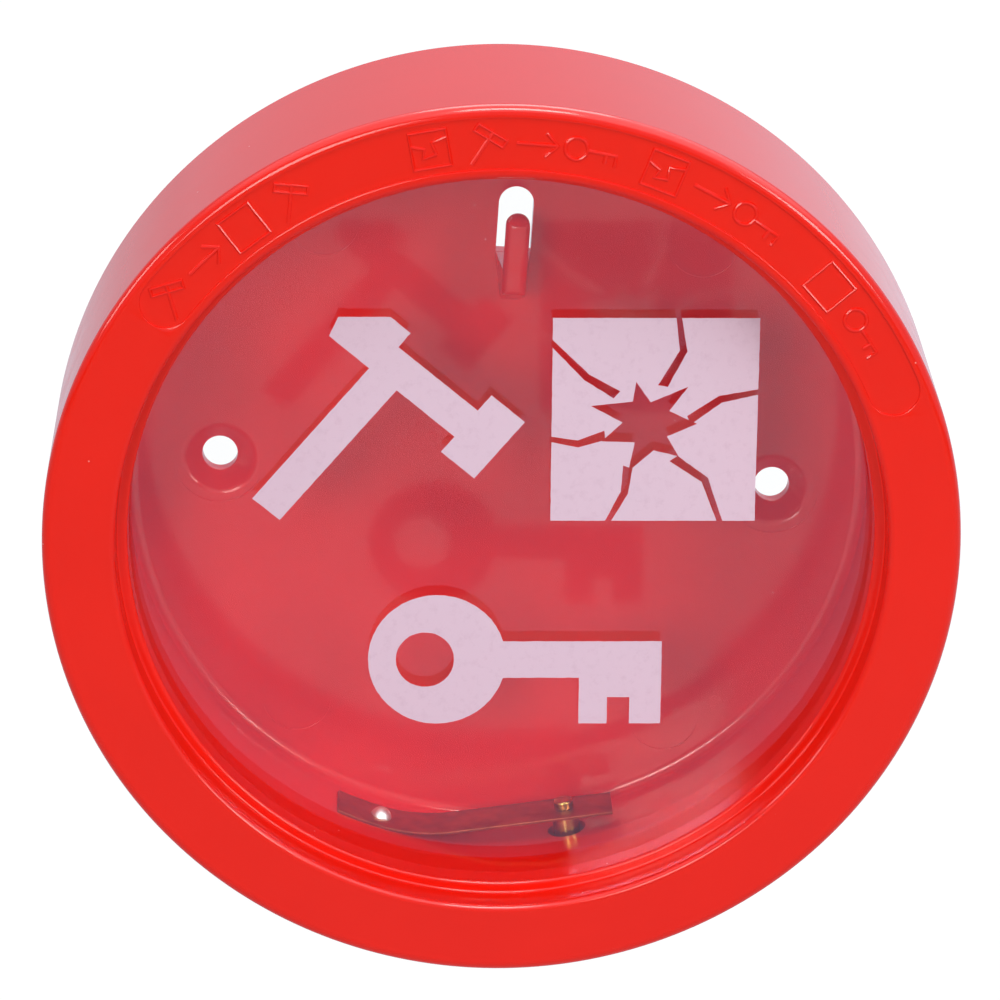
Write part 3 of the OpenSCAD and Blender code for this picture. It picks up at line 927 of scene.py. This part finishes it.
@dataclass
class WallCup:
    """The housing: a cup with a flange and a rear rim, two screw holes, the key's hook and the catch's holes."""

    cup_r: float = 50.6
    cup_out_r: float = 53.2
    flange_r: float = 58.4
    floor_h: float = 4.5
    flange_h: float = 5.5
    flange_t: float = 2.4
    wall_middle_r: float = 51.9
    back_h: float = 2.0
    rim_h: float = 25.2
    screw_x: float = 38.0
    screw_r: float = 2.4
    sink_r: float = 5.0
    boss_r: float = 6.2
    boss_h: float = 3.0
    mark_r: float = 4.75
    mark_depth: float = 0.2
    marks: Spot = (25.6, 34.5)
    hook_z: float = 31.7
    slot_w: float = 4.7
    slot_tall: float = 9.2
    ledge: float = 8.2
    finger_w: float = 3.2
    finger_t: float = 2.8
    finger_tall: float = 7.8
    gusset: float = 6.6
    foot_w: float = 2.3
    root_in: float = 1.5
    nose_r: float = 1.2
    nose_z: float = -1.75
    stud_hole_r: float = 2.65

    def outline(self) -> list[Spot]:
        """Gives the cup's half section.

        Returns:
            Radius and height of each point.
        """
        section = [
            (0, self.floor_h, 0),
            (self.cup_r, self.floor_h, 1.5),
            (self.cup_r, self.rim_h, 0.6),
            (self.cup_out_r, self.rim_h, 0.6),
            (self.cup_out_r, self.flange_h, 0.2),
            (self.flange_r, self.flange_h, 0.6),
            (self.flange_r, 0, 0.3),
            (self.flange_r - self.flange_t, 0, 0.3),
            (self.flange_r - self.flange_t, self.back_h, 0.2),
            (0, self.back_h, 0),
        ]
        return rounded(section)

    def screw_tool(self, x: float) -> Piece:
        """Makes the shape of a screw hole: its bore, its countersink and the ring that the mould's pin left.

        Args:
            x: The hole's place.

        Returns:
            The shape.
        """
        depth = self.sink_r - self.screw_r
        floor = self.floor_h - self.mark_depth
        outline = rounded(
            [
                (0, -1, 0),
                (self.screw_r, -1, 0),
                (self.screw_r, self.floor_h - depth, 0.5),
                (self.sink_r - self.mark_depth, floor, 1.5),
                (self.boss_r, floor, 0),
                (self.boss_r, self.floor_h + 1, 0),
                (0, self.floor_h + 1, 0),
            ],
            8,
            0.02,
        )
        return Bench.put(Bench.lathe("screw_hole", outline, False, 96), Matrix.Translation((x * MM, 0, 0)))

    def slot_tool(self) -> Piece:
        """Makes the shape of the slot that the mould's core left behind the hook.

        Returns:
            The shape.
        """
        half = self.slot_w / 2
        top = self.hook_z + self.slot_tall - half
        sill = self.hook_z + 0.03
        points = [(-half, sill), (half, sill), *arc((0, top), half, 0, 180, 32)]
        return Bench.plate("slot", [Vector((x, 0, z)) for x, z in points], Vector((0, -self.floor_h - 1, 0)))

    def hook(self) -> Piece:
        """Makes the hook, as what its outlines from the side, the front and above have in common.

        Returns:
            The hook, with soft edges.
        """
        reach = self.ledge + self.finger_t
        root = self.floor_h
        round_r = self.finger_t * 2 / 3
        side = [(-self.root_in, 0), (self.ledge, 0), (self.ledge, self.finger_tall)]
        side += arc((reach - round_r, self.finger_tall - round_r), round_r, 90, 0, 12)
        side += arc((reach - self.nose_r, self.nose_z), self.nose_r, 0, -66, 8)
        side += [(0, -self.gusset), (-self.root_in, -self.gusset)]
        half, foot, wide = self.finger_w / 2, self.foot_w / 2, self.slot_w / 2
        top = self.finger_tall - half
        front = [*arc((0, top), half, 0, 180, 16), (-half, 0), (-wide, 0), (-wide, -0.8)]
        front += [(-foot, -self.gusset - 0.1), (foot, -self.gusset - 0.1), (wide, -0.8), (wide, 0), (half, 0)]
        nose = self.nose_r
        plan = [(-wide, -2), (-wide, 0), (-half, self.ledge)]
        plan += arc((-half + nose, reach - nose), nose, 180, 90, 8)
        plan += [*arc((half - nose, reach - nose), nose, 90, 0, 8), (half, self.ledge), (wide, 0), (wide, -2)]
        side = [Vector((-4, -root - h, self.hook_z + z)) for h, z in side]
        front = [Vector((x, -root + 3, self.hook_z + z)) for x, z in front]
        plan = [Vector((x, -root - h, self.hook_z - 9)) for x, h in plan]
        hook = Bench.plate("hook", side, Vector((8, 0, 0)))
        seen = Bench.plate("hook_front", front, Vector((0, -16, 0)))
        above = Bench.plate("hook_plan", plan, Vector((0, 0, 20)))
        Bench.use(hook, seen, Cut.SHARE)
        Bench.use(hook, above, Cut.SHARE)
        return Bench.soften(hook, 0.55, angle=35, segments=4)

    def build(self) -> Piece:
        """Makes the cup.

        Returns:
            The cup.
        """
        cup = Bench.lathe("wall_cup", self.outline(), False)
        for x in (-self.screw_x, self.screw_x):
            outline = [(0, 0), (self.boss_r, 0), (self.boss_r, self.boss_h), (0, self.boss_h)]
            boss = Bench.lathe("boss", outline, False, 96)
            Bench.use(cup, Bench.put(boss, Matrix.Translation((x * MM, 0, 0))), Cut.ADD)
        Bench.use(cup, self.slot_tool(), Cut.TAKE_AWAY)
        for x in (-self.screw_x, self.screw_x):
            Bench.use(cup, self.screw_tool(x), Cut.TAKE_AWAY)
        low, high = self.floor_h - self.mark_depth, self.floor_h + 1
        outline = [(0, low), (self.mark_r, low), (self.mark_r, high), (0, high)]
        for x in (-self.marks[0], self.marks[0]):
            for z in (-self.marks[1], self.marks[1]):
                mark = Bench.lathe("mark", outline, False, 96)
                Bench.use(cup, Bench.put(mark, Matrix.Translation((x * MM, 0, z * MM))), Cut.TAKE_AWAY)
        catch = Catch()
        outline = [(0, -4), (self.stud_hole_r, -4), (self.stud_hole_r, 4), (0, 4)]
        hole = Bench.put(Bench.lathe("stud_hole", outline, False, 64), catch.stud_place(self.wall_middle_r))
        Bench.use(cup, hole, Cut.TAKE_AWAY)
        # The shank's hole, and outside it the counterbore for the clenched tail.
        steps = [(0, -2), (1.0, -2), (1.0, 2.3), (1.8, 2.3), (1.8, 5), (0, 5)]
        Bench.use(cup, Bench.put(Bench.lathe("rivet_hole", steps, False, 64), catch.rivet_place()), Cut.TAKE_AWAY)
        Bench.use(cup, self.hook(), Cut.ADD)
        return Bench.shade(cup)


@dataclass
class Catch:
    """The spring catch: a leaf that is riveted to the cup's wall, with a stud near its free end."""

    height: float = 11.7
    wall_r: float = 50.6
    thick: float = 0.4
    width: float = 7.0
    tail: float = 6.4
    tab: float = 6.6
    bend_r: float = 22.0
    rise: float = 11.0
    rivet_turn: float = 15.0
    stud_turn: float = 15.0
    stud: Spot = field(default=(0.0, 0.0), init=False)
    path: dict[str, Spot] = field(default_factory=dict, init=False)

    def __post_init__(self) -> None:
        """Works out where the leaf bends and where the stud sits on it."""
        turn, rise = math.radians(self.rivet_turn), math.radians(self.rise)
        leaf_r = self.wall_r - self.thick / 2
        start = Vector((-leaf_r * math.sin(turn), -leaf_r * math.cos(turn)))
        centre = start + self.bend_r * Vector((math.sin(turn), math.cos(turn)))
        along, down = Vector((math.cos(rise), math.sin(rise))), Vector((math.sin(rise), -math.cos(rise)))
        straight = centre + self.bend_r * down
        out = Vector((math.sin(math.radians(self.stud_turn)), -math.cos(math.radians(self.stud_turn))))
        radius = (straight.x * along.y - straight.y * along.x) / (out.x * along.y - out.y * along.x)
        self.stud = tuple(out * radius)
        self.path = {"centre": tuple(centre), "straight": tuple(straight), "along": tuple(along), "down": tuple(down)}

    def stud_place(self, radius: float) -> Matrix:
        """Places what was drawn about the box's axis on the stud's own axis.

        Args:
            radius: How far from the box's axis its middle comes, in millimetres.

        Returns:
            The place, with distances in metres.
        """
        down = Vector(self.path["down"])
        here = Vector(self.stud)
        along = here.dot(down)
        step = math.sqrt(radius * radius - here.length_squared + along * along) - along
        there = here + down * step
        turn = Matrix.Rotation(math.radians(-self.rise), 4, "Y") @ Matrix.Rotation(math.radians(90), 4, "X")
        return Matrix.Translation((there.x * MM, -self.height * MM, there.y * MM)) @ turn

    def rivet_place(self) -> Matrix:
        """Places what was drawn about the box's axis on the rivet's own axis, with its base on the leaf.

        Returns:
            The place, with distances in metres.
        """
        seat = self.wall_r - self.thick - 0.06
        angle = math.radians(self.rivet_turn)
        place = Matrix.Translation((-seat * math.sin(angle) * MM, -self.height * MM, -seat * math.cos(angle) * MM))
        return place @ Matrix.Rotation(angle, 4, "Y") @ Matrix.Rotation(math.radians(90), 4, "X")

    def face(self, out: float) -> list[Spot]:
        """Follows one face of the leaf.

        Args:
            out: The face's distance from the leaf's middle, outwards.

        Returns:
            The points from the tail to the tab.
        """
        leaf_r = self.wall_r - self.thick / 2
        tail = math.degrees(self.tail / leaf_r)
        points = arc((0, 0), leaf_r + out, -90 - self.rivet_turn - tail, -90 - self.rivet_turn, 8)[:-1]
        points += arc(self.path["centre"], self.bend_r + out, -90 - self.rivet_turn, self.rise - 90, 24)
        straight, along, down = (Vector(self.path[k]) for k in ("straight", "along", "down"))
        length = (Vector(self.stud) - straight).length + self.tab
        points += [tuple(straight + out * down + along * length * i / 12) for i in range(1, 13)]
        return points

    def leaf(self) -> Piece:
        """Makes the leaf as a bent strip, with the edges that the shear left.

        Returns:
            The leaf.
        """
        outline = self.face(self.thick / 2) + self.face(-self.thick / 2)[::-1]
        front = -self.height - self.width / 2
        leaf = Bench.plate("catch_leaf", [Vector((x, front, z)) for x, z in outline], Vector((0, self.width, 0)))
        return Bench.shade(Bench.soften(leaf, 0.05, angle=50, segments=2))

    def bend(self, leaf: Piece) -> None:
        """Bakes the leaf's place into its mesh; nothing here lets the leaf bend.

        Args:
            leaf: The finished leaf.
        """
        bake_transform(leaf)

    def rivet(self) -> Piece:
        """Makes the rivet: its domed head, its shank and its clenched tail.

        Returns:
            The rivet.
        """
        head_r, head_h, shank_r, tail_r = 1.45, 1.2, 0.9, 1.7
        ball = (head_r * head_r + head_h * head_h) / (2 * head_h)
        edge = math.degrees(math.asin(min(1.0, head_r / ball)))
        angles = [math.radians(edge * i / 12) for i in range(13)]
        outline = [(ball * math.sin(a), -head_h + ball - ball * math.cos(a)) for a in angles]
        outline += [(head_r, 0.05), (shank_r, 0.06), (shank_r, 2.36), (tail_r, 2.36), (tail_r, 3.0), (0, 3.0)]
        return Bench.shade(Bench.put(Bench.lathe("leaf_rivet", outline, False, 64), self.rivet_place()), 40)

    def pin(self) -> Piece:
        """Makes the stud: its head above the leaf, its neck and its body below.

        Returns:
            The stud.
        """
        head_r, neck_r, body_r, top, seat, tip = 1.35, 0.9, 1.85, -1.53, 0.23, 5.42
        head = rounded([(0, top, 0), (head_r, top, 0.35), (head_r, -seat, 0.12), (neck_r, -seat, 0)], 5, 0.05)
        body = rounded([(neck_r, seat, 0), (body_r, seat, 0.1), (body_r, tip, 0.46), (0, tip, 0)], 5, 0.05)
        stud = Bench.lathe("catch_pin", head + body, False, 64)
        turn = Matrix.Rotation(math.radians(-self.rise), 4, "Y") @ Matrix.Rotation(math.radians(90), 4, "X")
        place = Matrix.Translation((self.stud[0] * MM, -self.height * MM, self.stud[1] * MM))
        return Bench.shade(Bench.put(stud, place @ turn), 40)


@dataclass
class Studio:
    """The pale floor, the soft lamps, the white surroundings and the camera of the photograph."""

    camera_mm: Point = (-27.214, -587.462, 200.876)
    camera_turn: Point = (70.6046, -3.8975, -1.3722)
    lens: float = 162.0
    floor_z: float = -0.0606
    white: str = "#EEF0FF"
    board: str = "#ADA9A0"
    fill: float = 0.15
    glow: float = 1.08
    glow_share: float = 0.88
    lamp_m: float = 1.0

    def camera(self) -> None:
        """Sets up the camera at the photograph's place, with its long lens."""
        data = bpy.data.cameras.new("photo_camera")
        data.lens, data.sensor_width, data.clip_start = self.lens, 36.0, 0.01
        camera = bpy.data.objects.new("photo_camera", data)
        camera.location = Vector(self.camera_mm) * MM
        camera.rotation_euler = tuple(math.radians(a) for a in self.camera_turn)
        bpy.context.scene.collection.objects.link(camera)
        bpy.context.scene.camera = camera

    def surroundings(self) -> None:
        """Makes the studio's white surroundings: plain light on the box, and white where it is seen or mirrored."""
        world = bpy.data.worlds.new("white_studio")
        world.use_nodes = True
        world.node_tree.nodes.clear()
        tree = world.node_tree
        path = add_node(tree, "ShaderNodeLightPath")
        seen = reckon(tree, "MAXIMUM", path.outputs["Is Camera Ray"], path.outputs["Is Transmission Ray"])
        plain = add_node(tree, "ShaderNodeBackground", {"Color": linear("#FFFFFF"), "Strength": self.fill}).outputs[0]
        way = add_node(
            tree, "ShaderNodeSeparateXYZ", {0: add_node(tree, "ShaderNodeTexCoord").outputs["Generated"]}
        ).outputs
        side = ramp(tree, way["X"], (-0.4, 0.4), (0.62, 1.0))
        above = ramp(tree, way["Z"], (0.5, 0.7), (1.0, 4.0))
        bright = reckon(tree, "MULTIPLY", side, above)
        pale = add_node(tree, "ShaderNodeBackground", {"Color": linear(self.white), "Strength": bright}).outputs[0]
        white = add_node(tree, "ShaderNodeBackground", {"Color": linear("#FFFFFF"), "Strength": 1.1}).outputs[0]
        around = layer(tree, path.outputs["Is Glossy Ray"], plain, pale)
        mixed = layer(tree, seen, around, white)
        add_node(tree, "ShaderNodeOutputWorld", {"Surface": mixed})
        bpy.context.scene.world = world

    def floor(self) -> None:
        """Lays a pale floor just under the box's lowest edge, though the real box hangs on its wall screws."""
        Bench.clear()
        bpy.ops.mesh.primitive_plane_add(size=8.0, location=(0, 0, self.floor_z))
        floor = bpy.context.object
        floor.name = "floor"
        # The board is matt, and also carries painted light: a graded glow, set up below.
        pale = bpy.data.materials.new("white_board_with_painted_glow")
        pale.use_nodes = True
        tree = pale.node_tree
        tree.nodes.clear()
        path = add_node(tree, "ShaderNodeLightPath")
        board = add_node(tree, "ShaderNodeBsdfDiffuse", {"Color": linear(self.board)}).outputs[0]
        glow = add_node(tree, "ShaderNodeEmission", {"Color": linear("#FFFFFF"), "Strength": self.glow}).outputs[0]
        place = add_node(
            tree, "ShaderNodeSeparateXYZ", {0: add_node(tree, "ShaderNodeTexCoord").outputs["Object"]}
        ).outputs
        # Painted light: to reflections and bounced light, the floor glows brighter to the right and towards the back,
        # in place of lamp light falling on it.
        side = ramp(tree, place["X"], (-0.2, 0.2), (0.68, 1.02))
        lit = add_node(tree, "ShaderNodeEmission", {"Color": linear(self.white), "Strength": side}).outputs[0]
        behind = ramp(tree, place["Y"], (-0.45, 0.15), (0.0, 0.9))
        backdrop = layer(tree, behind, board, lit)
        seen = reckon(tree, "MAXIMUM", path.outputs["Is Camera Ray"], path.outputs["Is Transmission Ray"])
        share = reckon(tree, "MULTIPLY", seen, self.glow_share)
        mixed = layer(tree, share, backdrop, glow)
        add_node(tree, "ShaderNodeOutputMaterial", {"Surface": mixed})
        floor.data.materials.append(pale)

    def lamp(self, name: str, direction: Spot, size: float, power: float) -> None:
        """Hangs a soft square lamp that faces the box.

        Args:
            name: The lamp's name.
            direction: Its side angle from straight ahead, to the right, and its height angle, in degrees.
            size: The length of its side, in metres.
            power: Its power, in watts.
        """
        side, up = (math.radians(a) for a in direction)
        place = self.lamp_m * Vector((math.sin(side) * math.cos(up), -math.cos(side) * math.cos(up), math.sin(up)))
        data = bpy.data.lights.new(name, "AREA")
        data.shape, data.size, data.energy = "SQUARE", size, power
        lamp = bpy.data.objects.new(name, data)
        lamp.location = place
        lamp.rotation_euler = place.to_track_quat("Z", "Y").to_euler()
        bpy.context.scene.collection.objects.link(lamp)

    def build(self) -> None:
        """Sets up the whole studio."""
        self.camera()
        self.surroundings()
        self.floor()
        self.lamp("right_softbox", (40, 22), 0.3, 3.2)
        self.lamp("front_left_softbox", (-17, 13), 0.3, 2.5)
        self.lamp("left_softbox", (-78, 20), 0.3, 1.9)
        self.lamp("overhead_softbox", (0, 65), 0.3, 4.3)
        self.lamp("rear_softbox", (180, 60), 0.5, 3.4)
        bpy.context.scene.view_settings.view_transform = "Standard"


def corners(box: tuple[Vector, Vector]) -> list[list[float]]:
    """Lists a box's lowest and highest corner as plain numbers."""
    return [[float(c) for c in corner] for corner in box]


def main() -> None:
    """Loads the frame, builds each sub-assembly on it, and lights it."""
    logging.basicConfig(level=logging.INFO, format="%(message)s")
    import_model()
    catch = Catch()
    fit_out(RingCover().build(), Body.COVER, RED_RESIN, "front_cover")
    fit_out(GlassPane().build(), Body.COVER, CLEAR_GLASS, "glass_disc")
    fit_out(GlassPrint().build(), Body.COVER, INK, None)
    fit_out(WallCup().build(), Body.HOUSING, RED_RESIN, "back_housing")
    fit_out(catch.rivet(), Body.HOUSING, NICKEL, "spring_rivet")
    fit_out(catch.pin(), Body.CATCH, BRASS, "catch_stud")
    catch.bend(fit_out(catch.leaf(), None, BRONZE, "leaf_spring"))
    Studio().build()


if __name__ == "__main__":
    main()
